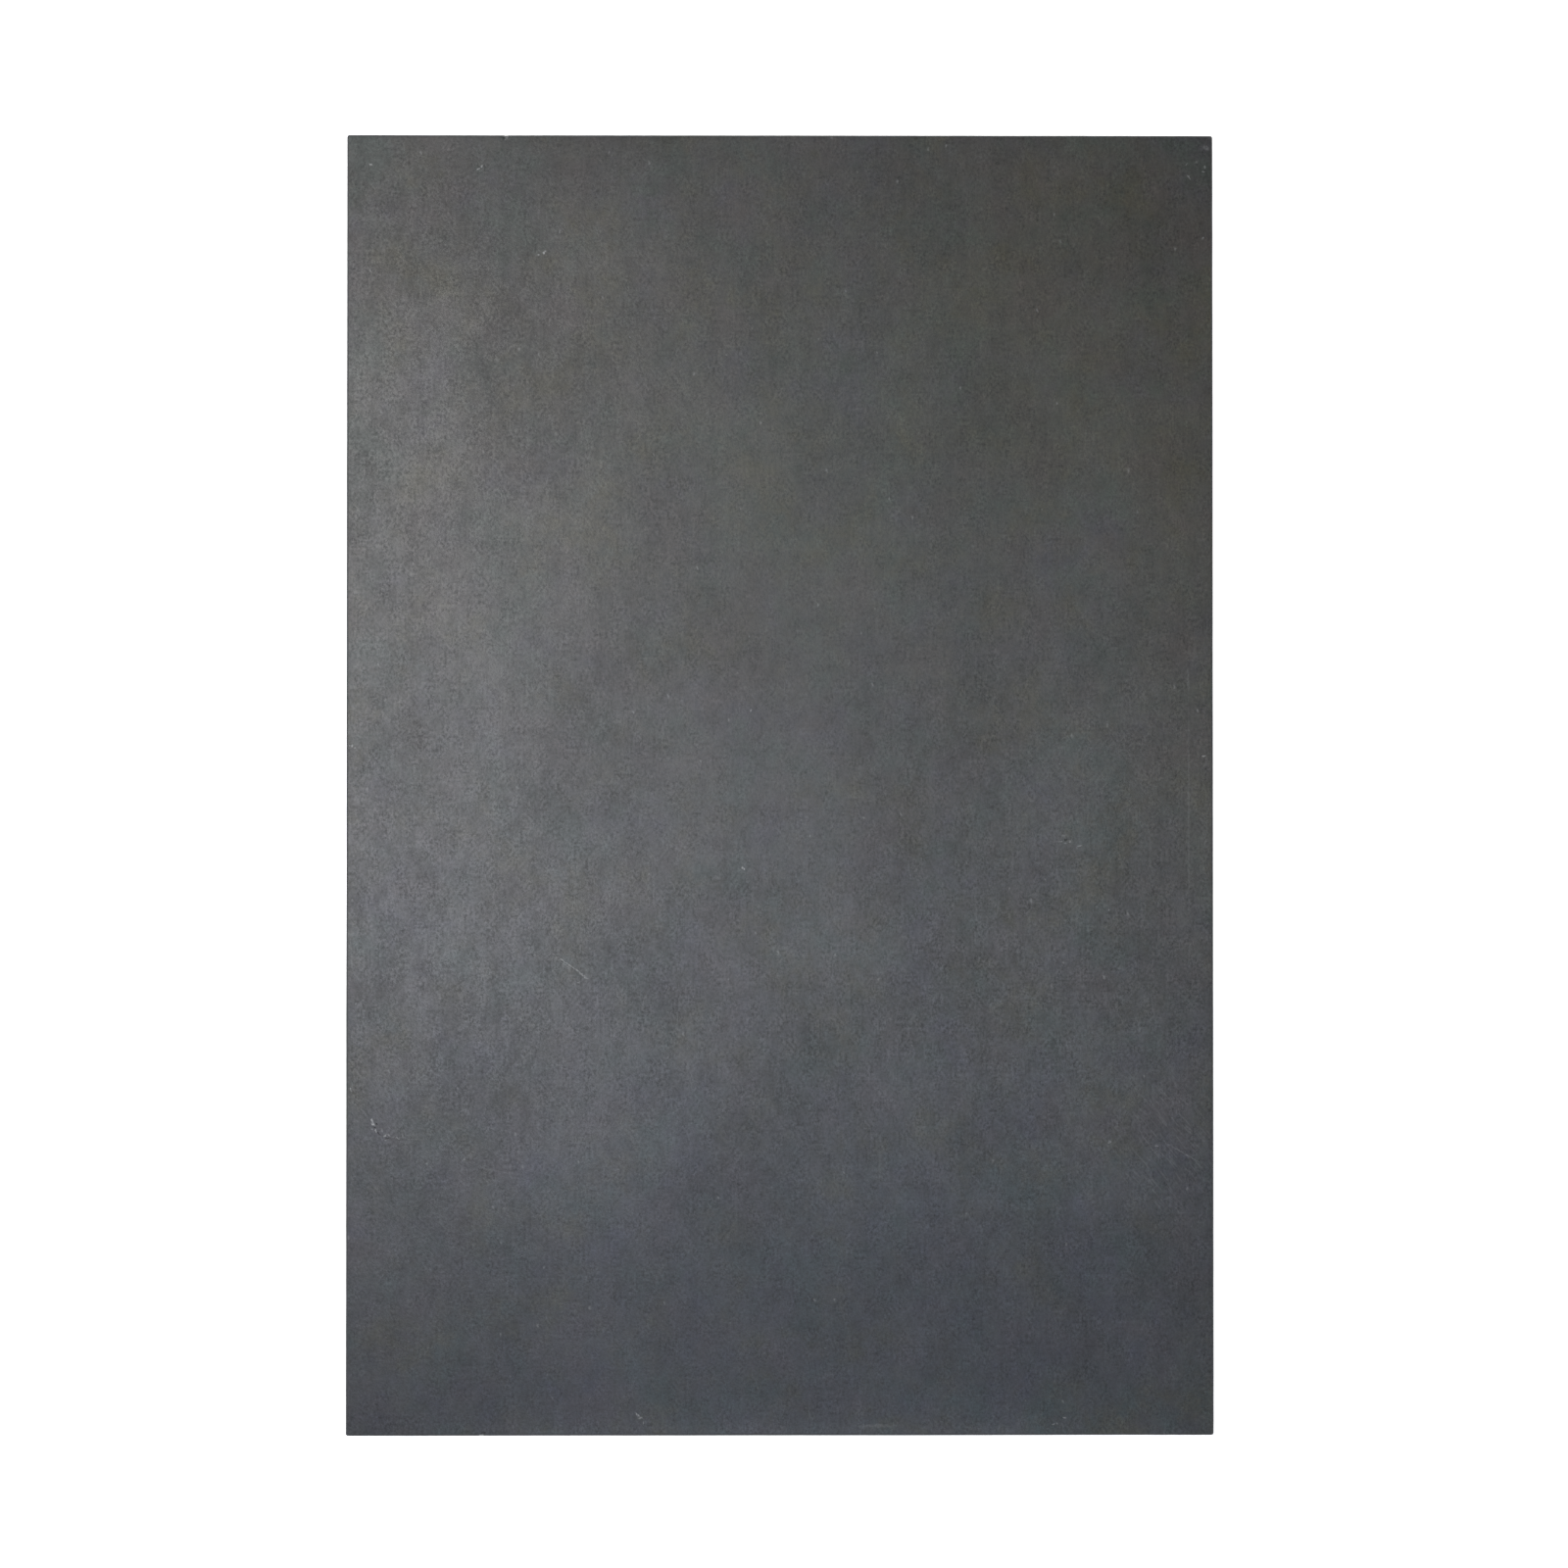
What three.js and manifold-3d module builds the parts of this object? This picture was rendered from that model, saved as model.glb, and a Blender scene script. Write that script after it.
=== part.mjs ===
// A slate slab: one flat piece of dark slate, sawn to a rectangle on all four sides, honed on its upper face
// and gauged flat underneath.
//
// Millimetres, +Z up. The slab lies on its underside. X is its width and Y its length, and the origin is the
// middle of the underside.
import * as THREE from 'three';
import { mergeVertices } from 'three/addons/utils/BufferGeometryUtils.js';
import Module from 'manifold-3d';

// Driving dimensions
const WIDTH = 400;
const LENGTH = 600;
const THICKNESS = 20;
const CORNER_RADIUS = 1.2; // the four upright corners, taken off with a rubbing block
const ARRIS = 0.8; // the rounded edge between each sawn side and the two faces

// How finely the rounded edges are faceted
const CORNER_STEPS = 4;
const ARRIS_STEPS = 3;
const SCOOP_DETAIL = 1;

// Finish of the stone
const STONE = { color: 0x45484a, roughness: 0.55, metalness: 0.0 };

// Flakes knocked out of the upper arris, which is the one that shows. Each has the side that it is on, its place
// along that side from the side's middle, its length, how far it bites into the face and how far it drops
// down the side.
const UPPER_FLAKES = [
  { side: 'far', along: -126.6, length: 2.4, bite: 1.6, drop: 1.2 },
  { side: 'near', along: -137.5, length: 3.2, bite: 1.0, drop: 1.1 },
];

// The lower arris is knocked about more, because the slab is stood and slid on it. Its flakes are spread along
// each side at a mean spacing, jittered by a fixed sequence.
const LOWER_FLAKE_SPACING = 46;
const LOWER_FLAKE = { length: [2.4, 7.5], bite: [1.1, 2.4], drop: [1.1, 2.8] };
const LOWER_FLAKE_END_GAP = 14; // from a corner to the first flake
const SEQUENCE_START = 20;

// Each side of the slab: its middle on the sharp edge of the box, the way it runs and its length
const SIDES = {
  near: { x: 0, y: -LENGTH / 2, turn: 0, run: WIDTH },
  right: { x: WIDTH / 2, y: 0, turn: Math.PI / 2, run: LENGTH },
  far: { x: 0, y: LENGTH / 2, turn: 0, run: WIDTH },
  left: { x: -WIDTH / 2, y: 0, turn: Math.PI / 2, run: LENGTH },
};

const wasm = await Module();
wasm.setup();

// A closed three.js geometry as a manifold solid
function toSolid(geometry) {
  const bare = geometry.clone();
  bare.deleteAttribute('normal');
  bare.deleteAttribute('uv');
  const merged = mergeVertices(bare);
  const triVerts = merged.index
    ? Uint32Array.from(merged.index.array)
    : Uint32Array.from({ length: merged.attributes.position.count }, (_, i) => i);
  const vertProperties = Float32Array.from(merged.attributes.position.array);
  return new wasm.Manifold(new wasm.Mesh({ numProp: 3, vertProperties, triVerts }));
}

// A manifold solid as a three.js geometry
function toGeometry(solid) {
  const mesh = solid.getMesh();
  const geometry = new THREE.BufferGeometry();
  geometry.setAttribute('position', new THREE.BufferAttribute(Float32Array.from(mesh.vertProperties), 3));
  geometry.setIndex(new THREE.BufferAttribute(Uint32Array.from(mesh.triVerts), 1));
  geometry.computeVertexNormals();
  return geometry;
}

// A sequence of fixed numbers between 0 and 1 that looks irregular
function makeSequence(start) {
  let state = start;
  return () => {
    state = (Math.imul(state, 1664525) + 1013904223) >>> 0;
    return state / 2 ** 32;
  };
}

// The plan of the slab: a rectangle with its four corners rounded
function slabPlan() {
  const x = WIDTH / 2;
  const y = LENGTH / 2;
  const r = CORNER_RADIUS;
  const plan = new THREE.Shape();
  plan.moveTo(-x + r, -y);
  plan.lineTo(x - r, -y);
  plan.absarc(x - r, -y + r, r, -Math.PI / 2, 0);
  plan.lineTo(x, y - r);
  plan.absarc(x - r, y - r, r, 0, Math.PI / 2);
  plan.lineTo(-x + r, y);
  plan.absarc(-x + r, y - r, r, Math.PI / 2, Math.PI);
  plan.lineTo(-x, -y + r);
  plan.absarc(-x + r, -y + r, r, Math.PI, Math.PI * 1.5);
  return plan;
}

// The sawn block, with its arrises eased above and below
function sawnBlock() {
  const block = new THREE.ExtrudeGeometry(slabPlan(), {
    depth: THICKNESS - 2 * ARRIS,
    curveSegments: CORNER_STEPS,
    bevelEnabled: true,
    bevelThickness: ARRIS,
    bevelSize: ARRIS,
    bevelOffset: -ARRIS,
    bevelSegments: ARRIS_STEPS,
  });
  block.translate(0, 0, ARRIS);
  return block;
}

// What one flake takes away: a flattened ball, centred on the sharp edge of the box at the height given
function flakeScoop({ side, along, length, bite, drop }, height) {
  const { x, y, turn } = SIDES[side];
  const scoop = new THREE.IcosahedronGeometry(1, SCOOP_DETAIL);
  scoop.scale(length / 2, bite, drop);
  scoop.translate(along, 0, 0);
  scoop.rotateZ(turn);
  scoop.translate(x, y, height);
  return scoop;
}

// The flakes of the lower arris
function lowerFlakes() {
  const next = makeSequence(SEQUENCE_START);
  const between = ([low, high]) => low + (high - low) * next() ** 2;
  const flakes = [];
  for (const [side, { run }] of Object.entries(SIDES)) {
    const stretch = run - 2 * LOWER_FLAKE_END_GAP;
    const count = Math.round(stretch / LOWER_FLAKE_SPACING);
    for (let i = 0; i < count; i += 1) {
      flakes.push({
        side,
        along: -stretch / 2 + ((i + next()) * stretch) / count,
        length: between(LOWER_FLAKE.length),
        bite: between(LOWER_FLAKE.bite),
        drop: between(LOWER_FLAKE.drop),
      });
    }
  }
  return flakes;
}

// The whole slab: the sawn block less every flake
function slateSlab() {
  let stone = toSolid(sawnBlock());
  for (const flake of UPPER_FLAKES) {
    stone = stone.subtract(toSolid(flakeScoop(flake, THICKNESS)));
  }
  for (const flake of lowerFlakes()) {
    stone = stone.subtract(toSolid(flakeScoop(flake, 0)));
  }
  const slab = new THREE.Mesh(toGeometry(stone), new THREE.MeshStandardMaterial(STONE));
  slab.name = 'slate_slab';
  return slab;
}

const group = new THREE.Group();
group.add(slateSlab());

export default group;
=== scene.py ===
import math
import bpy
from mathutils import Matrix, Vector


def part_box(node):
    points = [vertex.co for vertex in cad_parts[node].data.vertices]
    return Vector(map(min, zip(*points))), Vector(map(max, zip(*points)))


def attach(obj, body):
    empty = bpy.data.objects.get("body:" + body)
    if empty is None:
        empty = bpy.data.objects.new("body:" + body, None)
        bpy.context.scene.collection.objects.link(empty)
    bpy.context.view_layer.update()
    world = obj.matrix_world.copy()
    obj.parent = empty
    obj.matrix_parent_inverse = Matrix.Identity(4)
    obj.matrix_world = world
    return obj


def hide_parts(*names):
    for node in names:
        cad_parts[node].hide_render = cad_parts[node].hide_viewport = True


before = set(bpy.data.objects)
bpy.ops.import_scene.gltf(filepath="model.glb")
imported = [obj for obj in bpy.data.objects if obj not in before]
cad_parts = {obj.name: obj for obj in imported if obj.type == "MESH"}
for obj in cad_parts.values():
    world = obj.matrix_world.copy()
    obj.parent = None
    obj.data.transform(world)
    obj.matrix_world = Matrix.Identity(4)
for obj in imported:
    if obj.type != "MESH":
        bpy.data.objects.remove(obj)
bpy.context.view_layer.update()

# A slate slab with a honed face, lying face up on a pale studio floor. Metres, +Z up, in the CAD frame.
from types import SimpleNamespace

import bpy
import numpy as np
from mathutils import Vector

MM = 0.001

# ------------------------------------------------------------------ size of the slab, from the frame
low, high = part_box("slate_slab")
HALF_WIDTH = high.x
HALF_LENGTH = high.y
THICKNESS = high.z - low.z
CORNER_RADIUS = 1.2 * MM  # the four upright corners
ARRIS = 0.8 * MM  # the rounded edge between a sawn side and a face

# Each side, in the order that the outline takes them: its direction outwards, how far out it stands and
# its length. A place along a side is measured from its middle, towards +X or +Y.
SIDES = {
    "near": ((0, -1), HALF_LENGTH, 2 * HALF_WIDTH),
    "right": ((1, 0), HALF_WIDTH, 2 * HALF_LENGTH),
    "far": ((0, 1), HALF_LENGTH, 2 * HALF_WIDTH),
    "left": ((-1, 0), HALF_WIDTH, 2 * HALF_LENGTH),
}

# ------------------------------------------------------------------ flakes knocked out of the arrises
# The same ones as in the CAD, in millimetres: side, place along it, length, bite into the face and drop
# down the side.
UPPER_FLAKES = [
    ("far", -126.6, 2.4, 1.6, 1.2),
    ("near", -137.5, 3.2, 1.0, 1.1),
]
LOWER_FLAKE_SPACING = 46
LOWER_FLAKE_SIZES = ((2.4, 7.5), (1.1, 2.4), (1.1, 2.8))  # length, bite and drop
LOWER_FLAKE_END_GAP = 14
SEQUENCE_START = 20
LEDGE = 0.35 * MM  # slate splits in layers, so a scar is stepped by about this much


def lower_flakes():
    """The flakes of the lower arris, spread along each side at a mean spacing and jittered by the
    CAD's fixed sequence: each number is the last times 1664525 plus 1013904223, modulo two to the
    32nd."""
    state = SEQUENCE_START

    def following():
        nonlocal state
        state = (state * 1664525 + 1013904223) % 2**32
        return state / 2**32

    flakes = []
    for side, (_, _, run) in SIDES.items():
        stretch = run / MM - 2 * LOWER_FLAKE_END_GAP
        count = round(stretch / LOWER_FLAKE_SPACING)
        for i in range(count):
            along = -stretch / 2 + (i + following()) * stretch / count
            sizes = [a + (b - a) * following() ** 2 for a, b in LOWER_FLAKE_SIZES]
            flakes.append((side, along, *sizes))
    return flakes


# ------------------------------------------------------------------ irregular heights


def ease(x):
    """Rises from 0 to 1 as x does, by three x squared less two x cubed, and stays level outside."""
    x = np.clip(x, 0, 1)
    return x * x * (3 - 2 * x)


def rolling(u, v, pitch, seed):
    """A smooth height from -1 to 1 over a plane: random heights stand on a square lattice of the
    given pitch, and each is blended into its neighbours by ease."""
    i, j = np.floor(u / pitch).astype(int), np.floor(v / pitch).astype(int)
    s, t = ease(u / pitch - i), ease(v / pitch - j)
    i, j = i - i.min(), j - j.min()
    lattice = np.random.default_rng(seed).uniform(-1, 1, (i.max() + 2, j.max() + 2))
    lower = lattice[i, j] * (1 - s) + lattice[i + 1, j] * s
    upper = lattice[i, j + 1] * (1 - s) + lattice[i + 1, j + 1] * s
    return lower * (1 - t) + upper * t


# ------------------------------------------------------------------ the skin's rows and columns
SHORT_COLUMNS = 296
LONG_COLUMNS = 444
CORNER_CROWDING = (9, 1.2 * MM)  # how much closer the columns stand at a corner, and how far that reaches
FLAKE_CROWDING = (3.5, 0.55)  # the same at a flake, with the reach as a share of its length
CROWDING_STEPS = 6000  # how finely the crowding curve is followed
ARRIS_TURNS = 4
FACE_REACH = np.array([6.5, 4.2, 2.6, 1.5, 0.8, 0.35]) * MM  # rows on a face, in from the arris
SIDE_DROPS = np.array([0.4, 1.0, 1.9]) * MM  # rows on a side, away from the arris
SIDE_ROWS = 9  # rows between those
HALVING_INSETS = np.array([10.5, 15]) * MM  # where the faces' rows thin out to half and a quarter
HONED_PART = 4  # the skin's parts are numbered: the sides from 0 to 3, then the two faces
UNDER_PART = 5
TINY = 1e-9  # below this, a difference is only rounding


def stations(side, run, columns, flakes):
    """Places of the columns along one side. They are spread so that each holds an equal share of a
    crowding curve: 1, plus a bell at each corner and a bell at each flake."""
    fine = np.linspace(-run / 2, run / 2, CROWDING_STEPS)
    crowd, width = CORNER_CROWDING
    curve = 1 + crowd * np.exp(-(((run / 2 - abs(fine)) / width) ** 2))
    crowd, share = FLAKE_CROWDING
    for where, along, length, _, _ in flakes:
        if where == side:
            curve += crowd * np.exp(-(((fine - along * MM) / (share * length * MM)) ** 2))
    held = np.concatenate([[0], np.cumsum((curve[1:] + curve[:-1]) / 2)])
    return np.interp(np.linspace(0, held[-1], columns + 1), held, fine)


def outline(flakes):
    """The plan's outline from the near left corner round by the right. For each column: its place on
    the sharp rectangle, its direction outwards, its side, and the shift that rounds the corner.

    Within a corner radius of a corner, a column shifts to the quarter circle that touches both
    sides, at an angle in proportion to its distance from the corner."""
    columns = [SHORT_COLUMNS, LONG_COLUMNS] * 2
    places = [
        stations(side, run, count, flakes)
        for (side, (_, _, run)), count in zip(SIDES.items(), columns)
    ]
    near, right, far, left = places[0][:-1], places[1][:-1], places[2][:0:-1], places[3][:0:-1]
    x = np.concatenate([near, np.full_like(right, HALF_WIDTH), far, np.full_like(left, -HALF_WIDTH)])
    y = np.concatenate([np.full_like(near, -HALF_LENGTH), right, np.full_like(far, HALF_LENGTH), left])
    side = np.repeat(np.arange(4), columns)
    from_side, from_end = HALF_WIDTH - abs(x), HALF_LENGTH - abs(y)
    corner = np.maximum(1 - (from_side + from_end) / CORNER_RADIUS, 0)  # 1 at a corner, 0 past the rounding
    on_side = from_side < from_end
    angle = np.where(on_side, corner, 2 - corner) * math.pi / 4
    outward = np.stack([np.cos(angle) * np.sign(x), np.sin(angle) * np.sign(y)], 1)
    outward[abs(outward) < TINY] = 0
    sharp = np.stack([x, y], 1)
    centre = np.sign(sharp) * (np.array([HALF_WIDTH, HALF_LENGTH]) - CORNER_RADIUS)
    rounded = centre + CORNER_RADIUS * outward
    shift = np.where(corner[:, None] > 0, rounded - sharp, 0)
    return SimpleNamespace(sharp=sharp, outward=outward, side=side, shift=shift)


def section():
    """The rows of the slab's section: inset, height and the tilt of the surface from straight up.
    They run from the honed face outwards, round the upper arris by a quarter circle, down the side,
    round the lower arris and in along the underside."""
    turn = np.linspace(0, math.pi / 2, ARRIS_TURNS + 1)
    tucked, dropped = ARRIS * (1 - np.sin(turn)), ARRIS * (1 - np.cos(turn))
    last = ARRIS + SIDE_DROPS[-1]
    middle = np.linspace(last, THICKNESS - last, SIDE_ROWS + 2)[1:-1]
    drop = np.concatenate([ARRIS + SIDE_DROPS, middle, THICKNESS - ARRIS - SIDE_DROPS[::-1]])
    face, side = np.zeros(len(FACE_REACH)), np.zeros(len(drop))
    inset = np.concatenate([ARRIS + FACE_REACH, tucked, side, tucked[::-1], ARRIS + FACE_REACH[::-1]])
    depth = np.concatenate([face, dropped, drop, THICKNESS - dropped[::-1], face + THICKNESS])
    tilt = np.concatenate([face, turn, side + math.pi / 2, turn + math.pi / 2, face + math.pi])
    return inset, THICKNESS - depth, tilt


def carried_round(plan, inset, height, step=1):
    """One row carried round the outline: the sharp rectangle shrunk by the inset on all sides, with
    as much of the corners' rounding as a row that far in keeps."""
    half = np.array([HALF_WIDTH, HALF_LENGTH])
    kept = 1 - ease((inset - ARRIS) / HALVING_INSETS[0])
    flat = plan.sharp[::step] * (half - inset) / half + plan.shift[::step] * kept
    return np.column_stack([flat, np.full(len(flat), height)])


def face_grid(rim, across, along):
    """The inside of a face, as a grid whose edge is the face's innermost row. A point's x is blended
    between the two columns that end its line on the near and far sides, and its y between those on
    the left and right."""
    near, right = rim[: across + 1, 0], rim[across : across + along + 1, 1]
    far = rim[across + along : 2 * across + along + 1, 0][::-1]
    left = np.append(rim[2 * across + along :, 1], rim[0, 1])[::-1]
    s, t = np.linspace(0, 1, across + 1)[:, None], np.linspace(0, 1, along + 1)[None]
    x = near[:, None] * (1 - t) + far[:, None] * t
    y = left[None] * (1 - s) + right[None] * s
    return np.stack([x, y, np.full_like(x, rim[0, 2])], -1)[1:-1, 1:-1].reshape(-1, 3)


def grid_faces(rim_start, inner_start, across, along):
    """The squares of a face's grid, wound to face up."""
    index = np.empty((across + 1, along + 1), int)
    index[:-1, 0] = np.arange(across)
    index[-1, :-1] = across + np.arange(along)
    index[:0:-1, -1] = across + along + np.arange(across)
    index[0, :0:-1] = 2 * across + along + np.arange(along)
    index += rim_start
    index[1:-1, 1:-1] = inner_start + np.arange((across - 1) * (along - 1)).reshape(across - 1, -1)
    corners = index[:-1, :-1], index[1:, :-1], index[1:, 1:], index[:-1, 1:]
    return np.stack(corners, -1).reshape(-1, 4)


def thinning_faces(coarse, fine, count):
    """Triangles between a row of columns and the row outside it with twice as many, wound to face
    up. coarse and fine are the rows' first vertices, and count is the coarse row's length."""
    a = coarse + np.arange(count)
    b, c = fine + 2 * np.arange(count), fine + 2 * np.arange(count) + 1
    after_a, after_b = np.roll(a, -1), np.roll(b, -1)
    corners = (a, b, c), (a, c, after_a), (after_a, c, after_b)
    return np.concatenate([np.stack(three, 1) for three in corners])


def plain_skin(flakes):
    """The whole skin of the slab before it is worn: the section carried round the outline, and the
    two faces filled in. Returns its vertices with their tilt and outward direction, and its faces
    with the part of the slab that each is on."""
    plan = outline(flakes)
    inset, height, tilt = section()
    count, rows = len(plan.sharp), len(inset)
    places = [carried_round(plan, i, z) for i, z in zip(inset, height)]
    tilts = [np.full(count, a) for a in tilt]
    outwards = [plan.outward] * rows
    index = np.arange(rows * count).reshape(rows, count)
    beside = np.roll(index, -1, axis=1)
    squares = [np.stack([index[:-1], index[1:], beside[1:], beside[:-1]], -1).reshape(-1, 4)]
    flat = (abs(tilt[1:] - tilt[:-1]) < TINY) & (inset[1:] + inset[:-1] > 2 * ARRIS)
    on_face = np.where(tilt[1:] < math.pi / 2, HONED_PART, UNDER_PART)
    square_parts = [np.where(flat[:, None], on_face[:, None], plan.side[None]).ravel()]
    triangles, triangle_parts = [], []
    across, along = SHORT_COLUMNS // 4, LONG_COLUMNS // 4
    for part, last_row, z, a in ((HONED_PART, 0, THICKNESS, 0), (UNDER_PART, rows - 1, 0, math.pi)):
        outer, winding = index[last_row, 0], slice(None, None, 1 if part == HONED_PART else -1)
        for step, ring_inset in zip((2, 4), HALVING_INSETS):
            start = sum(map(len, places))
            ring = carried_round(plan, ring_inset, z, step)
            places.append(ring)
            triangles.append(thinning_faces(start, outer, len(ring))[:, winding])
            outer = start
        start = sum(map(len, places))
        places.append(face_grid(ring, across, along))
        squares.append(grid_faces(outer, start, across, along)[:, winding])
        square_parts.append(np.full(len(squares[-1]), part))
        triangle_parts.append(np.full(sum(map(len, triangles[-2:])), part))
        made = sum(map(len, places)) - sum(map(len, tilts))
        tilts.append(np.full(made, a))
        outwards.append(np.zeros((made, 2)))
    return SimpleNamespace(
        place=np.concatenate(places),
        tilt=np.concatenate(tilts),
        outward=np.concatenate(outwards),
        squares=np.concatenate(squares),
        triangles=np.concatenate(triangles),
        parts=np.concatenate(square_parts + triangle_parts),
    )


# ------------------------------------------------------------------ what sawing, honing and knocks did
FACE_SWELLS = ((150 * MM, 0.10 * MM), (45 * MM, 0.03 * MM))  # pitch and depth of the honed face's swells
ROLL = (0.9 * MM, 0.045 * MM)  # how far in from an arris honing lowers the face, and by how much there
SAW_WANDER = ((90 * MM, 0.12 * MM), (17 * MM, 0.05 * MM))  # pitch and depth of the saw's drift on the sides
WEAR = ((2.6 * MM, 0.14 * MM), (9 * MM, 0.10 * MM))  # pitch and depth of the rubbing of the arrises
SWELL_SEED, WANDER_SEED, WEAR_SEED, SCOOP_SEED = 3, 11, 21, 40
WANDER_REACH = 2 * MM  # how far in over a face the saw's drift fades out
ROUND_CORNERS = 1.37  # the share of y in a coordinate that goes on round the corners
SCAR_DEPTH = 0.25 * MM  # a scar this deep is all fresh stone
SCOOP_LUMPS = (0.9 * MM, 0.25)  # how uneven a scar is: pitch, and share of its depth
LEDGE_PULL = (0.6, 0.3 * MM)  # how near a scar comes to the ledges, and the depth where that is in full


def worn(skin, flakes):
    """The skin after working. Every change is inwards: the honed face and the underside sink and
    rise by slow swells, the sides wander by the saw's drift, the arrises are rubbed along the
    diagonal, and each flake carries the skin along the same diagonal to the surface of its scoop.
    Returns how deep each vertex was scarred, from 0 to 1."""
    x, y, z = skin.place.T
    level = np.cos(skin.tilt)
    inwards = (np.minimum(HALF_WIDTH - abs(x), HALF_LENGTH - abs(y)) - ARRIS).clip(0)
    edge = np.exp(-inwards / WANDER_REACH)
    swell = sum(
        depth * (1 + rolling(x, y, pitch, SWELL_SEED + k)) / 2
        for k, (pitch, depth) in enumerate(FACE_SWELLS)
    )
    swell += ROLL[1] * np.exp(-inwards / ROLL[0])
    run = x + ROUND_CORNERS * y
    wander = sum(
        depth * (1 + rolling(run, 2 * z, pitch, WANDER_SEED + k)) / 2
        for k, (pitch, depth) in enumerate(SAW_WANDER)
    )
    rubbed = sum(
        depth * rolling(run, z, pitch, WEAR_SEED + k).clip(0)
        for k, (pitch, depth) in enumerate(WEAR)
    )
    on_arris = np.sin(2 * skin.tilt) ** 2
    place = skin.place.copy()
    place[:, 2] -= np.sign(level) * abs(level) * swell
    place[:, :2] -= skin.outward * (wander * edge)[:, None]
    place[:, :2] -= skin.outward * (rubbed * on_arris / math.sqrt(2))[:, None]
    place[:, 2] -= np.sign(level) * rubbed * on_arris / math.sqrt(2)
    scar = np.zeros(len(place))
    for k, (flake, top) in enumerate([(f, True) for f in UPPER_FLAKES] + [(f, False) for f in flakes]):
        deep = knock_out(place, flake, top, k)
        scar = np.maximum(scar, ease(deep / SCAR_DEPTH))
    skin.place = place
    return scar


def knock_out(place, flake, top, number):
    """Moves the vertices that one flake reaches, and returns how far each moved.

    The scoop is a ball flattened to the flake's half length, bite and drop, centred on the sharp
    edge of the slab's box. A vertex inside it moves diagonally inwards, to where the line leaves
    the ball, then part of the way to the nearest of the layers that slate splits along."""
    side, along, length, bite, drop = flake
    outward, stands, _ = SIDES[side]
    run = 1 if outward[0] else 0
    bite, drop, half = bite * MM, drop * MM, length * MM / 2
    a = (place[:, run] - along * MM) / half
    b = (stands - place[:, 1 - run] * outward[1 - run]) / bite
    down = (THICKNESS - place[:, 2]) if top else place[:, 2]
    c = down / drop
    inside = a * a + b * b + c * c < 1
    deep = np.zeros(len(place))
    if not inside.any():
        return deep
    a, b, c = a[inside], b[inside], c[inside]
    square, cross, rest = 1 / bite**2 + 1 / drop**2, b / bite + c / drop, a * a + b * b + c * c - 1
    move = (np.sqrt(cross**2 - square * rest) - cross) / square
    pitch, share = SCOOP_LUMPS
    move *= 1 + share * rolling(place[inside, run], down[inside], pitch, SCOOP_SEED + number)
    sunk = down[inside] + move
    share, deep_enough = LEDGE_PULL
    sunk += share * (np.round(sunk / LEDGE) * LEDGE - sunk) * ease(move / deep_enough)
    place[inside, 1 - run] -= outward[1 - run] * move
    place[inside, 2] = THICKNESS - sunk if top else sunk
    deep[inside] = move
    return deep


# ------------------------------------------------------------------ the slab as a mesh
MAP_MARGIN = 0.004


def bake_map(skin, corners, parts):
    """Where each face corner lies on the slab's own map. The honed face takes the most room, lying
    on its side across the whole width, with the four sides as strips above it and the underside
    squeezed in on top."""
    x, y, z = skin.place[corners].T
    scale = (1 - 2 * MAP_MARGIN) / (2 * HALF_LENGTH)
    along, across = (y + HALF_LENGTH) * scale, (x + HALF_WIDTH) * scale
    strip = (THICKNESS + 2 * ARRIS) * scale + MAP_MARGIN
    # Down the section: the height plus what the tuck of the arris adds to it
    out = np.where(parts % 2 == 0, HALF_LENGTH - abs(y), HALF_WIDTH - abs(x))
    down = (THICKNESS - z + np.sign(THICKNESS / 2 - z) * out + ARRIS) * scale
    base = 2 * HALF_WIDTH * scale + 2 * MAP_MARGIN
    room = 1 - 2 * MAP_MARGIN - base - 4 * strip
    u = np.where(parts % 2 == 0, across, along)
    v = base + parts * strip + down
    u = np.where(parts >= HONED_PART, along, u)
    v = np.where(parts == HONED_PART, MAP_MARGIN + across, v)
    squeezed = base + 4 * strip + MAP_MARGIN + (x + HALF_WIDTH) / (2 * HALF_WIDTH) * room
    v = np.where(parts == UNDER_PART, squeezed, v)
    return np.stack([MAP_MARGIN + u, v], 1)


def slab_piece(materials):
    """The slab: its worn skin as one closed mesh, with its scars, its arrises and its own map."""
    flakes = lower_flakes()
    skin = plain_skin(UPPER_FLAKES + flakes)
    scar = worn(skin, flakes)
    faces = skin.squares.tolist() + skin.triangles.tolist()
    mesh = bpy.data.meshes.new("slate_slab_stone")
    mesh.from_pydata(skin.place, [], faces)
    mesh.attributes.new("scar", "FLOAT", "POINT").data.foreach_set("value", scar)
    arris = np.sin(2 * skin.tilt) ** 2
    mesh.attributes.new("arris", "FLOAT", "POINT").data.foreach_set("value", arris)
    corners = np.concatenate([skin.squares.ravel(), skin.triangles.ravel()])
    sizes = np.repeat([4, 3], [len(skin.squares), len(skin.triangles)])
    places = bake_map(skin, corners, np.repeat(skin.parts, sizes))
    mesh.uv_layers.new(name="OFBake").data.foreach_set("uv", places.ravel())
    broken = np.add.reduceat(scar[corners], np.cumsum(sizes) - sizes) / sizes > 0.5
    mesh.polygons.foreach_set("use_smooth", ~broken)
    mesh.polygons.foreach_set("material_index", np.clip(skin.parts - 3, 0, 2))
    for material in materials:
        mesh.materials.append(material)
    mesh.validate()
    mesh.update()
    piece = bpy.data.objects.new("slate_slab_stone", mesh)
    bpy.context.scene.collection.objects.link(piece)
    return piece


# ------------------------------------------------------------------ wiring materials


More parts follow.
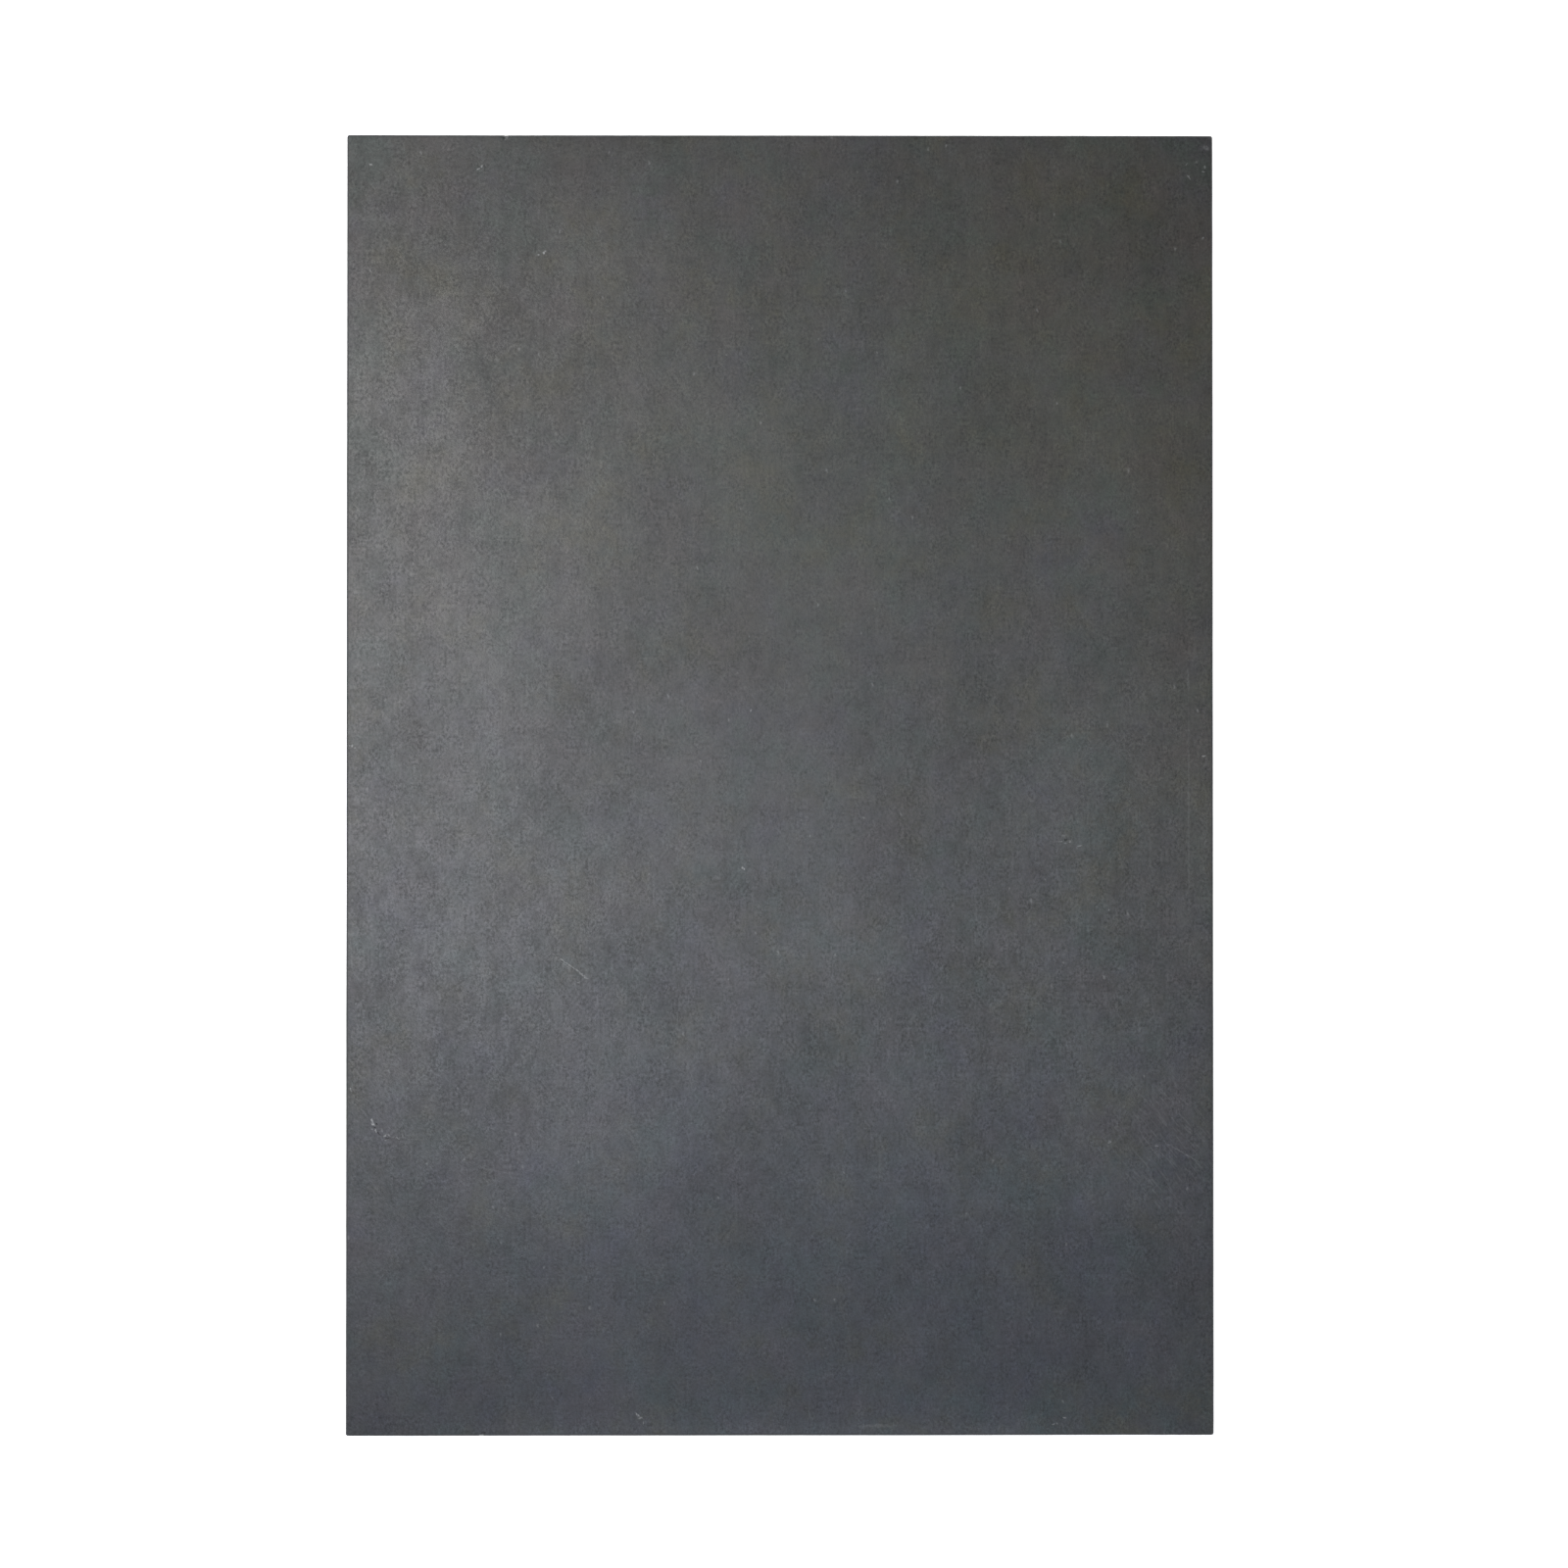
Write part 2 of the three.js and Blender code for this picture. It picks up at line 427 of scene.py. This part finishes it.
def wire(tree, kind, inputs, output=0, **settings):
    """Adds a node, sets it up, sets or links its inputs, and gives one of its outputs."""
    node = tree.nodes.new("ShaderNode" + kind)
    for name, value in settings.items():
        setattr(node, name, value)
    for key, value in inputs.items():
        if isinstance(value, bpy.types.NodeSocket):
            tree.links.new(value, node.inputs[key])
        else:
            node.inputs[key].default_value = value
    return node.outputs[output]


def sums(tree, operation, *values):
    """One step of arithmetic."""
    return wire(tree, "Math", dict(enumerate(values)), operation=operation)


def blend(tree, share, first, second, way="MIX"):
    """A colour that goes from the first to the second as the share rises."""
    inputs = {0: share, 6: first, 7: second}
    return wire(tree, "Mix", inputs, output=2, data_type="RGBA", blend_type=way)


def between(tree, value, start, end, low_end=0.0, high_end=1.0):
    """A value eased from one level to another as it crosses a range."""
    inputs = {"Value": value, "From Min": start, "From Max": end, "To Min": low_end, "To Max": high_end}
    return wire(tree, "MapRange", inputs, interpolation_type="SMOOTHSTEP")


def turned(tree, place, turn):
    """Places turned about the upright, so that a pattern on them heads that many degrees from +X."""
    return wire(tree, "Mapping", {"Vector": place, "Rotation": (0, 0, -math.radians(turn))})


PATTERN_START = (7.31, 3.87, 5.23)  # far from the slab, because a pattern's lumps line up at its own origin


def stretched(tree, place, scale=(1, 1, 1), turn=0):
    """Places for a pattern: turned, scaled along each axis, and then moved to where patterns start."""
    if turn:
        place = turned(tree, place, turn)
    return wire(tree, "VectorMath", {0: place, 1: scale, 2: PATTERN_START}, operation="MULTIPLY_ADD")


def noise(tree, place, size, detail=2.0, rough=0.5, level=False):
    """A soft irregular value about 0.5, with lumps of the given size. A level one is the same at
    every height, which is quicker."""
    inputs = {"Vector": place, "Scale": 1 / size, "Detail": detail, "Roughness": rough}
    return wire(tree, "TexNoise", inputs, noise_dimensions="2D" if level else "3D", normalize=True)


def lumps(tree, place, pattern, level):
    """Noise with lumps of a pattern's size, detail and roughness, stretched along the slab."""
    size, detail, rough, stretch = pattern
    return noise(tree, stretched(tree, place, (1, 1 / stretch, 1)), size, detail, rough, level)


def varied(tree, tone, pattern, amount):
    """A tone that a pattern about 0.5 moves up and down by that amount."""
    return sums(tree, "MULTIPLY_ADD", sums(tree, "SUBTRACT", pattern, 0.5), amount, tone)


def grey(value):
    """The grey of that brightness, as a colour."""
    return (value, value, value, 1)


# ------------------------------------------------------------------ the stone itself
SLATE = (0.0450, 0.0456, 0.0462, 1)
BROWN_TINT = (1.08, 1.03, 0.82, 1)
GREEN_TINT = (0.88, 1.03, 0.99, 1)
ROSE_TINT = (1.08, 0.98, 1.01, 1)
VIOLET_TINT = (0.98, 0.96, 1.13, 1)
BLUE_TINT = (0.89, 0.97, 1.14, 1)
PALER_TINT = (1.20, 1.20, 1.19, 1)
DARKER_TINT = (0.86, 0.86, 0.86, 1)
FRESH_BREAK = (0.15, 0.153, 0.155, 1)
DUST = (0.42, 0.425, 0.43, 1)  # the pale powder that a scratch or a bruise leaves
ARRIS_SHADE_TINT = (0.74, 0.79, 0.84, 1)  # painted shade and cool light: how much darker and bluer the arrises are coloured than the face

# Patterns in the slate: size of the lumps, detail, roughness and stretch along the slab
CLOUDS = (75 * MM, 1.0, 0.6, 1.3)
MOTTLES = (16 * MM, 2.0, 0.6, 1.4)
LUMPS = (4.8 * MM, 1.0, 0.7, 1.5)
GRAIN = (1.3 * MM, 2.0, 0.8, 1.25)
COARSENESS = (7 * MM, 2.0, 0.6, 5 / 3)
RIDGES = (2.4 * MM, 1.0, 0.5, 2.2)
AMOUNTS = ((CLOUDS, 0.52), (MOTTLES, 0.47), (LUMPS, 0.50))  # how much each varies the tone
COARSE_RANGE = (0.35, 0.65)  # the coarseness from which the grain grows, and where it is full
GRAIN_AMOUNTS = (1.0, 2.1)  # in the smooth stretches and in the coarse ones
FIBROUS_RANGE = (0.48, 0.62)  # the coarseness from which fibres show, and where they are full
FIBRE_THICKNESS = 0.035  # how near a ridge's middle a fibre lies
FIBRE_LIGHT = 0.22


def slate_tone(tree, place, level):
    """How light the slate is from place to place, and the grain alone. The tone is 1, with clouds,
    mottles and lumps about it, grain that is coarser in some stretches, and there short pale fibres,
    where a lumpy value crosses its middle."""
    tone = 1.0
    for pattern, amount in AMOUNTS:
        tone = varied(tree, tone, lumps(tree, place, pattern, level), amount)
    coarse = lumps(tree, place, COARSENESS, level)
    grain = lumps(tree, place, GRAIN, level)
    tone = varied(tree, tone, grain, between(tree, coarse, *COARSE_RANGE, *GRAIN_AMOUNTS))
    ridges = lumps(tree, place, RIDGES, level)
    crossing = sums(tree, "ABSOLUTE", sums(tree, "SUBTRACT", ridges, 0.5))
    fibres = between(tree, crossing, 0.0, FIBRE_THICKNESS, FIBRE_LIGHT, 0.0)
    return sums(tree, "MULTIPLY_ADD", fibres, between(tree, coarse, *FIBROUS_RANGE), tone), grain


# Faint patches of colour: size, heading, and the tints where the pattern is high and where it is low
PATCHES = (
    (40 * MM, 0, BROWN_TINT, VIOLET_TINT),
    (34 * MM, 90, GREEN_TINT, ROSE_TINT),
)
PATCH_FRAYING = (4.0, 0.7)  # detail and roughness of their rims
HIGH_RANGE = (0.48, 0.76)
LOW_RANGE = (0.52, 0.24)


def slate_colour(tree, place, tone, level):
    """Dark grey slate in that tone, with faint patches: brown where one irregular value is high and
    violet where it is low, and green and rose by another."""
    tint = (1, 1, 1, 1)
    for size, turn, high_tint, low_tint in PATCHES:
        patches = noise(tree, stretched(tree, place, turn=turn), size, *PATCH_FRAYING, level)
        tint = blend(tree, between(tree, patches, *HIGH_RANGE), tint, high_tint)
        tint = blend(tree, between(tree, patches, *LOW_RANGE), tint, low_tint)
    stone = blend(tree, 1.0, SLATE, tint, "MULTIPLY")
    return wire(tree, "VectorMath", {0: stone, "Scale": tone}, operation="SCALE")


def new_material(name):
    """A new material, with its tree and its shader."""
    material = bpy.data.materials.new(name)
    material.use_nodes = True
    tree = material.node_tree
    return material, tree, tree.nodes["Principled BSDF"]


def places_on(tree):
    """The places on the piece, in its own coordinates."""
    return wire(tree, "TexCoord", {}, output="Object")


def attribute(tree, name):
    """A value that the mesh holds at each vertex."""
    return wire(tree, "Attribute", {}, output="Fac", attribute_name=name)


ARRIS_RANGE = (0.0, 0.8)  # the arris's own value where the painted arris shade starts to show, and where it is full
DISTURBED_MATT = 0.2  # how much rougher a fresh break or dust is than the finish round it
GLOSS = 0.4


def finish_with(tree, shader, colour, rough, height, depth):
    """Puts a colour, a roughness and a relief of that depth on the shader, after the arrises are darkened
    and cooled with painted shade and the fresh breaks laid over them."""
    # Painted shade and cool light along the arrises, eased in by the arris value
    arris_shade = between(tree, attribute(tree, "arris"), *ARRIS_RANGE)
    colour = blend(tree, 1.0, colour, blend(tree, arris_shade, (1, 1, 1, 1), ARRIS_SHADE_TINT), "MULTIPLY")
    scar = attribute(tree, "scar")
    tree.links.new(blend(tree, scar, colour, FRESH_BREAK), shader.inputs["Base Color"])
    matt = sums(tree, "MULTIPLY_ADD", scar, DISTURBED_MATT, rough)
    tree.links.new(matt, shader.inputs["Roughness"])
    relief = wire(tree, "Bump", {"Strength": 1.0, "Distance": depth, "Height": height})
    tree.links.new(relief, shader.inputs["Normal"])
    shader.inputs["Specular IOR Level"].default_value = GLOSS


# ------------------------------------------------------------------ marks on the honed face
# Each mark is a streak or a spot: the place of its middle, its length, its width, its heading in
# degrees from +X, and how light it is. Millimetres.
MARKS = (
    # A long scratch, heavier at its near end, with a finer one beside it, and a pock
    (-95.9, -84.1, 25.0, 0.8, -35, 0.31),
    (-98.9, -83.2, 11.0, 0.6, -35, 0.17),
    (-91.4, -87.6, 6.0, 0.9, -35, 0.34),
    (-89.4, -89.3, 2.3, 1.2, -15, 0.4),
    (-92.7, -91.3, 1.8, 1.1, 45, 0.25),
    (-101.8, -81.0, 2.2, 0.9, 15, 0.18),
    # A bruise of pocks, with a broken drag that fades away to the right
    (-187.4, -156.3, 2.6, 2.2, -45, 0.78),
    (-187.9, -154.6, 2.0, 1.6, -60, 0.62),
    (-186.0, -159.6, 2.6, 1.2, -75, 0.49),
    (-187.8, -158.6, 1.7, 0.8, -15, 0.25),
    (-182.0, -161.9, 2.4, 1.1, 45, 0.38),
    (-180.2, -161.5, 2.6, 1.0, -30, 0.38),
    (-178.0, -162.4, 1.7, 1.0, 15, 0.27),
    (-175.9, -162.9, 3.2, 0.9, -15, 0.27),
    (-181.4, -163.6, 2.2, 0.9, 30, 0.19),
    (-168.5, -163.4, 12.0, 0.8, 0, 0.07),
    # Broken dashes with a soft spot above them
    (129.5, -26.5, 2.4, 1.3, -15, 0.28),
    (131.6, -27.2, 2.2, 0.9, -15, 0.19),
    (133.7, -26.3, 1.5, 1.2, 0, 0.34),
    (138.2, -28.3, 3.2, 0.9, 0, 0.28),
    (130.8, -23.6, 2.0, 1.8, 0, 0.17),
    # Knocks near the near edge
    (-65.6, -290.2, 4.4, 1.0, -45, 0.44),
    (-64.4, -291.6, 2.6, 0.9, 0, 0.3),
    (-62.9, -294.0, 2.2, 0.7, 90, 0.3),
    (130.9, -291.6, 2.3, 1.1, -15, 0.36),
    (127.6, -294.5, 1.9, 0.8, -60, 0.3),
    (126.0, -294.6, 2.0, 0.9, 60, 0.3),
    (44.0, -295.3, 24.0, 2.2, 0, 0.08),
    # Short curls in the far right corner
    (188.9, 280.7, 3.8, 1.1, -60, 0.27),
    (187.8, 286.4, 1.9, 1.0, 45, 0.2),
    (192.3, 287.6, 2.3, 0.9, 30, 0.17),
    (196.2, 285.4, 2.4, 1.0, -75, 0.24),
    (195.6, 283.2, 2.0, 1.0, 15, 0.22),
    (196.8, 294.3, 5.0, 2.6, -35, 0.14),
    (195.4, 252.4, 2.0, 1.3, 45, 0.27),
    # Ticks by the long sides
    (195.4, 12.9, 2.8, 0.9, 15, 0.36),
    (-198.4, 17.9, 1.5, 1.2, 0, 0.3),
    (-197.1, 17.8, 1.9, 1.3, 60, 0.48),
    (-195.9, 16.8, 1.8, 0.9, 45, 0.2),
    (-197.8, -140.5, 2.8, 1.0, -60, 0.42),
    (-197.6, -80.5, 9.0, 3.2, 90, 0.1),
    # Powder below the far chip
    (-126.3, 298.4, 2.6, 1.6, 60, 0.3),
    # Loose flecks
    (-17.1, -38.7, 2.9, 1.2, -45, 0.49),
    (-188.8, 286.0, 1.8, 1.4, 0, 0.43),
    (-137.6, 285.2, 2.4, 1.4, 60, 0.45),
    (-139.4, 284.0, 2.3, 1.0, 30, 0.41),
    (-108.9, 245.6, 2.3, 1.6, 45, 0.62),
    (-111.5, 244.4, 1.7, 1.2, 15, 0.43),
    (-101.8, 255.0, 3.2, 1.0, 90, 0.18),
    (151.8, -164.9, 2.2, 1.7, 0, 0.28),
    (173.7, -166.6, 2.2, 1.3, -30, 0.28),
    (-13.5, 34.0, 2.4, 1.1, 75, 0.24),
    (186.0, -170.0, 26.0, 0.8, -30, 0.13),
    # A faint line beside the right-hand side, where another slab leant
    (188.3, 48.0, 14.0, 1.6, 90, 0.08),
    (188.5, -8.0, 126.0, 1.3, 90, 0.06),
)
# Small holes, the same way, with how dark each is: their darkening of the colour is painted shade in the
# holes, beside their sunk relief
PITS = (
    (-185.8, -156.4, 1.5, 0.9, 75, 0.7),
    (-186.8, -158.0, 1.6, 0.9, 0, 0.7),
    (-184.9, -160.7, 2.8, 0.9, -45, 0.6),
    (-180.6, -162.9, 2.4, 0.9, 0, 0.5),
    (-136.7, -298.5, 2.8, 1.0, 0, 0.7),
    (132.2, -25.6, 2.4, 1.2, -15, 0.5),
)
# Broad stretches where the face is tinted another colour: the middle, half the width and length,
# the tint and its strength. Millimetres. The bluer near end is painted cool light, and the paler strips
# by the left side and along the near edge are painted highlight.
STRETCHES = (
    ((150, 215), (125, 140), BROWN_TINT, 0.5),
    ((215, 50), (80, 200), BROWN_TINT, 0.45),
    ((40, 160), (160, 115), GREEN_TINT, 0.4),
    # Painted cool light: the near end made bluer, as light from that side falls on it
    ((0, -290), (330, 215), BLUE_TINT, 0.75),
    # Painted highlight: a paler strip down the left side, where the light from the left catches it
    ((-206, -15), (33, 155), PALER_TINT, 1.0),
    ((-200, 300), (80, 70), PALER_TINT, 0.7),
    ((70, -100), (150, 65), PALER_TINT, 0.7),
    ((5, 85), (55, 120), DARKER_TINT, 0.8),
    # Painted highlight: two paler strips along the near edge, where the rim catches the light
    ((0, -308), (270, 34), PALER_TINT, 1.0),
    ((0, -301), (250, 9), PALER_TINT, 1.0),
)
MARK_CORE = 0.35  # how far out a mark is in full, as a share of its ellipse
STRETCH_CORE = 0.3  # the same for a stretch and for the scuffed patch
SCUFFS = ((178, -166), (34, 48), -50)  # a scuffed patch's middle and half size, and the scuffs' heading
SCUFF_SPACING = 1.0 * MM
SCUFF_SLIMNESS = 0.11  # a scuff's width as a share of its length
SCUFF_RANGE = (0.55, 0.75)
SCUFF_STRENGTH = 0.065
FLECK_SPACING = 8.5 * MM
FLECK_SLIMNESS = 0.6
FLECK_HEADING = 12
FLECK_SHARE = 0.07  # of the spaces that hold a fleck
FLECK_RADIUS = 0.85 * MM  # of the largest
SMALLEST_FLECK = 0.4  # as a share of that
FLECK_CORE = 0.1
FLECK_STRENGTH = 0.18
RAGGEDNESS = (1.3 * MM, 1.2 * MM)  # how closely the marks' rims wander, and how far
CRUMB_SIZE = 0.8 * MM  # the broken stretches along a mark
CRUMB_RANGE = (0.34, 0.60)
CRUMB_STRENGTHS = (0.45, 1.15)


def how_far_out(tree, place, x, y, length, width, heading=0):
    """How far out a place is from an ellipse's middle: 0 there, and 1 on the ellipse. The place is
    already turned to the ellipse's heading."""
    cos, sin = math.cos(math.radians(heading)), math.sin(math.radians(heading))
    scale = (2 / (length * MM), 2 / (width * MM), 0)
    middle = ((x * cos + y * sin) * MM, (y * cos - x * sin) * MM)
    shift = (-middle[0] * scale[0], -middle[1] * scale[1], 0)
    within = wire(tree, "VectorMath", {0: place, 1: scale, 2: shift}, operation="MULTIPLY_ADD")
    return wire(tree, "VectorMath", {0: within}, output="Value", operation="LENGTH")


def laid(tree, place, marks):
    """The strongest of the marks at a place: each holds out to its core and fades to nothing at the
    rim of its ellipse."""
    headings = sorted({mark[4] for mark in marks})
    places = {heading: turned(tree, place, heading) for heading in headings}
    most = 0.0
    for *ellipse, strength in marks:
        out = how_far_out(tree, places[ellipse[4]], *ellipse)
        most = sums(tree, "MAXIMUM", between(tree, out, MARK_CORE, 1.0, strength, 0.0), most)
    return most


def scuffs(tree, place):
    """Many faint parallel hairlines, in one patch."""
    (x, y), (across, along), heading = SCUFFS
    out = how_far_out(tree, place, x, y, 2 * across, 2 * along)
    patch = between(tree, out, STRETCH_CORE, 1.0, 1.0, 0.0)
    slim = stretched(tree, place, (SCUFF_SLIMNESS, 1, 1), heading)
    hairs = noise(tree, slim, SCUFF_SPACING, 1.0, 0.5, True)
    return sums(tree, "MULTIPLY", between(tree, hairs, *SCUFF_RANGE, 0.0, SCUFF_STRENGTH), patch)


def flecks(tree, place):
    """Small pale flecks, each at a point of its own in a few of the cells of an uneven net."""
    slim = stretched(tree, place, (1, FLECK_SLIMNESS, 1), FLECK_HEADING)
    inputs = {"Vector": slim, "Scale": 1 / FLECK_SPACING, "Randomness": 1.0}
    far = wire(tree, "TexVoronoi", inputs, "Distance", voronoi_dimensions="2D")
    draw = wire(tree, "TexVoronoi", inputs, "Color", voronoi_dimensions="2D")
    chance = wire(tree, "SeparateColor", {0: draw}, output=0)
    size = wire(tree, "SeparateColor", {0: draw}, output=1)
    largest = FLECK_RADIUS / FLECK_SPACING
    rim = between(tree, size, 0.0, 1.0, SMALLEST_FLECK * largest, largest)
    here = sums(tree, "LESS_THAN", chance, FLECK_SHARE)
    spot = between(tree, sums(tree, "DIVIDE", far, rim), FLECK_CORE, 1.0, FLECK_STRENGTH, 0.0)
    return sums(tree, "MULTIPLY", spot, here)


def shaken(tree, place, size, far):
    """Places moved about irregularly, so that what is laid on them has ragged rims."""
    inputs = {"Vector": stretched(tree, place), "Scale": 1 / size, "Detail": 1.0}
    shake = wire(tree, "TexNoise", inputs, output=1, noise_dimensions="2D", normalize=True)
    shake = wire(tree, "VectorMath", {0: shake, 1: (0.5, 0.5, 0.5)}, operation="SUBTRACT")
    shake = wire(tree, "VectorMath", {0: shake, "Scale": far}, operation="SCALE")
    return wire(tree, "VectorMath", {0: place, 1: shake}, operation="ADD")


def face_marks(tree, place):
    """How dusty the honed face is, from 0 to 1, with its marks, scuffs and flecks broken up as a
    scratch on stone is, and how dark the painted shade in its pits is."""
    ragged = shaken(tree, place, *RAGGEDNESS)
    crumbs = noise(tree, stretched(tree, place), CRUMB_SIZE, 1.0, 0.5, True)
    crumbs = between(tree, crumbs, *CRUMB_RANGE, *CRUMB_STRENGTHS)
    dust = sums(tree, "MULTIPLY", laid(tree, ragged, MARKS), crumbs)
    dust = sums(tree, "MAXIMUM", dust, flecks(tree, ragged))
    return sums(tree, "ADD", dust, scuffs(tree, place)), laid(tree, ragged, PITS)


TONE_RANGE = (0.5, 1.5)
DARK_TO_PALE = (0.48, 0.36)  # the face's roughness at the two ends of that range
PIT_DEPTH = 4.0  # beside the grain's relief
GRAIN_DEPTH = 0.06 * MM


def honed_face():
    """The honed face: slate in its broad stretches of colour, some of them painted light, with dust laid
    over it and pits sunk in it, darkened with painted shade. It is glossier where it is paler."""
    material, tree, shader = new_material("honed_slate_face")
    place = places_on(tree)
    tone, grain = slate_tone(tree, place, True)
    dust, pits = face_marks(tree, place)
    # Painted shade in the pits: the tone is darkened where a pit lies
    unshaded_by_pits = sums(tree, "SUBTRACT", 1.0, pits)
    colour = slate_colour(tree, place, sums(tree, "MULTIPLY", tone, unshaded_by_pits), True)
    # The stretches' tints, among them painted cool light and painted highlight by the left side and the
    # near edge
    for (x, y), (across, along), tint, strength in STRETCHES:
        out = how_far_out(tree, place, x, y, 2 * across, 2 * along)
        share = between(tree, out, STRETCH_CORE, 1.0, strength, 0.0)
        colour = blend(tree, 1.0, colour, blend(tree, share, (1, 1, 1, 1), tint), "MULTIPLY")
    colour = blend(tree, dust, colour, DUST)
    rough = between(tree, tone, *TONE_RANGE, *DARK_TO_PALE)
    rough = sums(tree, "MULTIPLY_ADD", dust, DISTURBED_MATT, rough)
    relief = sums(tree, "MULTIPLY_ADD", pits, -PIT_DEPTH, grain)
    finish_with(tree, shader, colour, rough, relief, GRAIN_DEPTH)
    return material


LAYERS = (45 * MM, 4.0, 0.6)  # size, detail and roughness
LAYERS_PER_SIZE = 30  # how many times thinner a layer is than it is long
LAYER_AMOUNT = 1.0
SAW_LINES = (1.2 * MM, 2.0)  # spacing and detail
SAW_LINE_SLIMNESS = 0.06
LINE_AMOUNT = 0.4
SAWN_PALER = 0.4  # how much paler a sawn side is than the honed face
SAWN_ROUGHNESS = 0.6
SAWN_DEPTH = 0.12 * MM


def sawn_sides():
    """The sides: layers of the stone parallel to the faces, and the saw's fine lines across them."""
    material, tree, shader = new_material("sawn_slate_sides")
    place = places_on(tree)
    tone, _ = slate_tone(tree, place, False)
    layers = noise(tree, stretched(tree, place, (1, 1, LAYERS_PER_SIZE)), *LAYERS)
    lines = noise(tree, stretched(tree, place, (1, 1, SAW_LINE_SLIMNESS)), *SAW_LINES)
    tone = varied(tree, sums(tree, "ADD", tone, SAWN_PALER), layers, LAYER_AMOUNT)
    tone = varied(tree, tone, lines, LINE_AMOUNT)
    colour = slate_colour(tree, place, tone, False)
    finish_with(tree, shader, colour, SAWN_ROUGHNESS, sums(tree, "ADD", layers, lines), SAWN_DEPTH)
    return material


GAUGE_LINES = (2.2 * MM, 3.0, 0.6)  # spacing, detail and roughness
GAUGE_LINE_SLIMNESS = 0.02
GAUGE_HEADING = 4
GAUGED_PALER = 0.2
GAUGED_ROUGHNESS = 0.62
GAUGED_DEPTH = 0.2 * MM


def gauged_underside():
    """The underside: the gauging saw's lines run across the slab."""
    material, tree, shader = new_material("gauged_slate_underside")
    place = places_on(tree)
    tone, _ = slate_tone(tree, place, True)
    slim = stretched(tree, place, (GAUGE_LINE_SLIMNESS, 1, 1), GAUGE_HEADING)
    lines = noise(tree, slim, *GAUGE_LINES, True)
    tone = varied(tree, sums(tree, "ADD", tone, GAUGED_PALER), lines, LINE_AMOUNT)
    colour = slate_colour(tree, place, tone, True)
    finish_with(tree, shader, colour, GAUGED_ROUGHNESS, lines, GAUGED_DEPTH)
    return material


slab = slab_piece([sawn_sides(), honed_face(), gauged_underside()])
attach(slab, "root")
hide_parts("slate_slab")

# ------------------------------------------------------------------ floor
FLOOR_REACH = 6.0
FLOOR_TONE, FLOOR_ROUGHNESS, FLOOR_GLOW = 0.92, 0.9, 0.79


def studio_floor():
    """A plain pale floor, which glows a little so that it stays white out to its edges."""
    mesh = bpy.data.meshes.new("studio_floor")
    corners = [(-1, -1, 0), (1, -1, 0), (1, 1, 0), (-1, 1, 0)]
    mesh.from_pydata(np.array(corners) * FLOOR_REACH, [], [(0, 1, 2, 3)])
    material, _, shader = new_material("pale_floor")
    shader.inputs["Base Color"].default_value = grey(FLOOR_TONE)
    shader.inputs["Roughness"].default_value = FLOOR_ROUGHNESS
    shader.inputs["Emission Color"].default_value = grey(1.0)
    shader.inputs["Emission Strength"].default_value = FLOOR_GLOW
    mesh.materials.append(material)
    floor = bpy.data.objects.new("studio_floor", mesh)
    bpy.context.scene.collection.objects.link(floor)
    return floor


studio_floor()

# ------------------------------------------------------------------ light
# Soft boxes, which all face the middle of the slab: place, power in watts and colour
SOFT_BOX_SIZE = 0.3
SOFT_BOXES = {
    "far_left": ((-0.45, 0.35, 1.15), 4.9, (1.0, 0.98, 0.95)),
    "left": ((-0.45, 0.0, 1.15), 2.4, (0.96, 0.96, 1.0)),
    "near_left": ((-0.30, -0.18, 1.15), 3.5, (0.85, 0.89, 1.0)),
    "overhead": ((0.25, -0.25, 1.80), 3.7, (0.66, 0.79, 1.0)),
    "far": ((0.0, 0.35, 1.15), 0.9, (1.0, 0.93, 0.66)),
    "right": ((0.35, 0.0, 1.15), 0.65, (1.0, 0.98, 0.8)),
}


def soft_box(name, place, power, colour):
    """A square light at a place, turned to face the origin."""
    light = bpy.data.lights.new("soft_box_" + name, "AREA")
    light.shape = "SQUARE"
    light.size = SOFT_BOX_SIZE
    light.energy = power
    light.color = colour
    box = bpy.data.objects.new("soft_box_" + name, light)
    box.location = place
    box.rotation_euler = (-Vector(place)).to_track_quat("-Z", "Y").to_euler()
    bpy.context.scene.collection.objects.link(box)


for name, (place, power, colour) in SOFT_BOXES.items():
    soft_box(name, place, power, colour)

HORIZON, CEILING = 1.0, 0.12  # how bright the studio's walls are, low down and overhead
WALL_TOP = (0.08, 0.5)  # between these heights in the sky, the one turns to the other
world = bpy.data.worlds.new("studio")
bpy.context.scene.world = world
world.use_nodes = True
sky = world.node_tree
direction = wire(sky, "TexCoord", {}, output="Generated")
rise = wire(sky, "SeparateXYZ", {0: direction}, output="Z")
sky.links.new(between(sky, rise, *WALL_TOP, HORIZON, CEILING), sky.nodes["Background"].inputs["Color"])

# ------------------------------------------------------------------ camera
LENS = 50.0
CAMERA_PLACE = (-0.0021, -0.0053, 1.0241)
CAMERA_TILT = (0.313, -0.223, 0.0)  # degrees from straight down
camera = bpy.data.cameras.new("camera")
camera.lens = LENS
camera.sensor_width = 36.0
viewer = bpy.data.objects.new("camera", camera)
viewer.location = CAMERA_PLACE
viewer.rotation_euler = [math.radians(a) for a in CAMERA_TILT]
bpy.context.scene.collection.objects.link(viewer)
bpy.context.scene.camera = viewer
bpy.context.scene.view_settings.view_transform = "Standard"
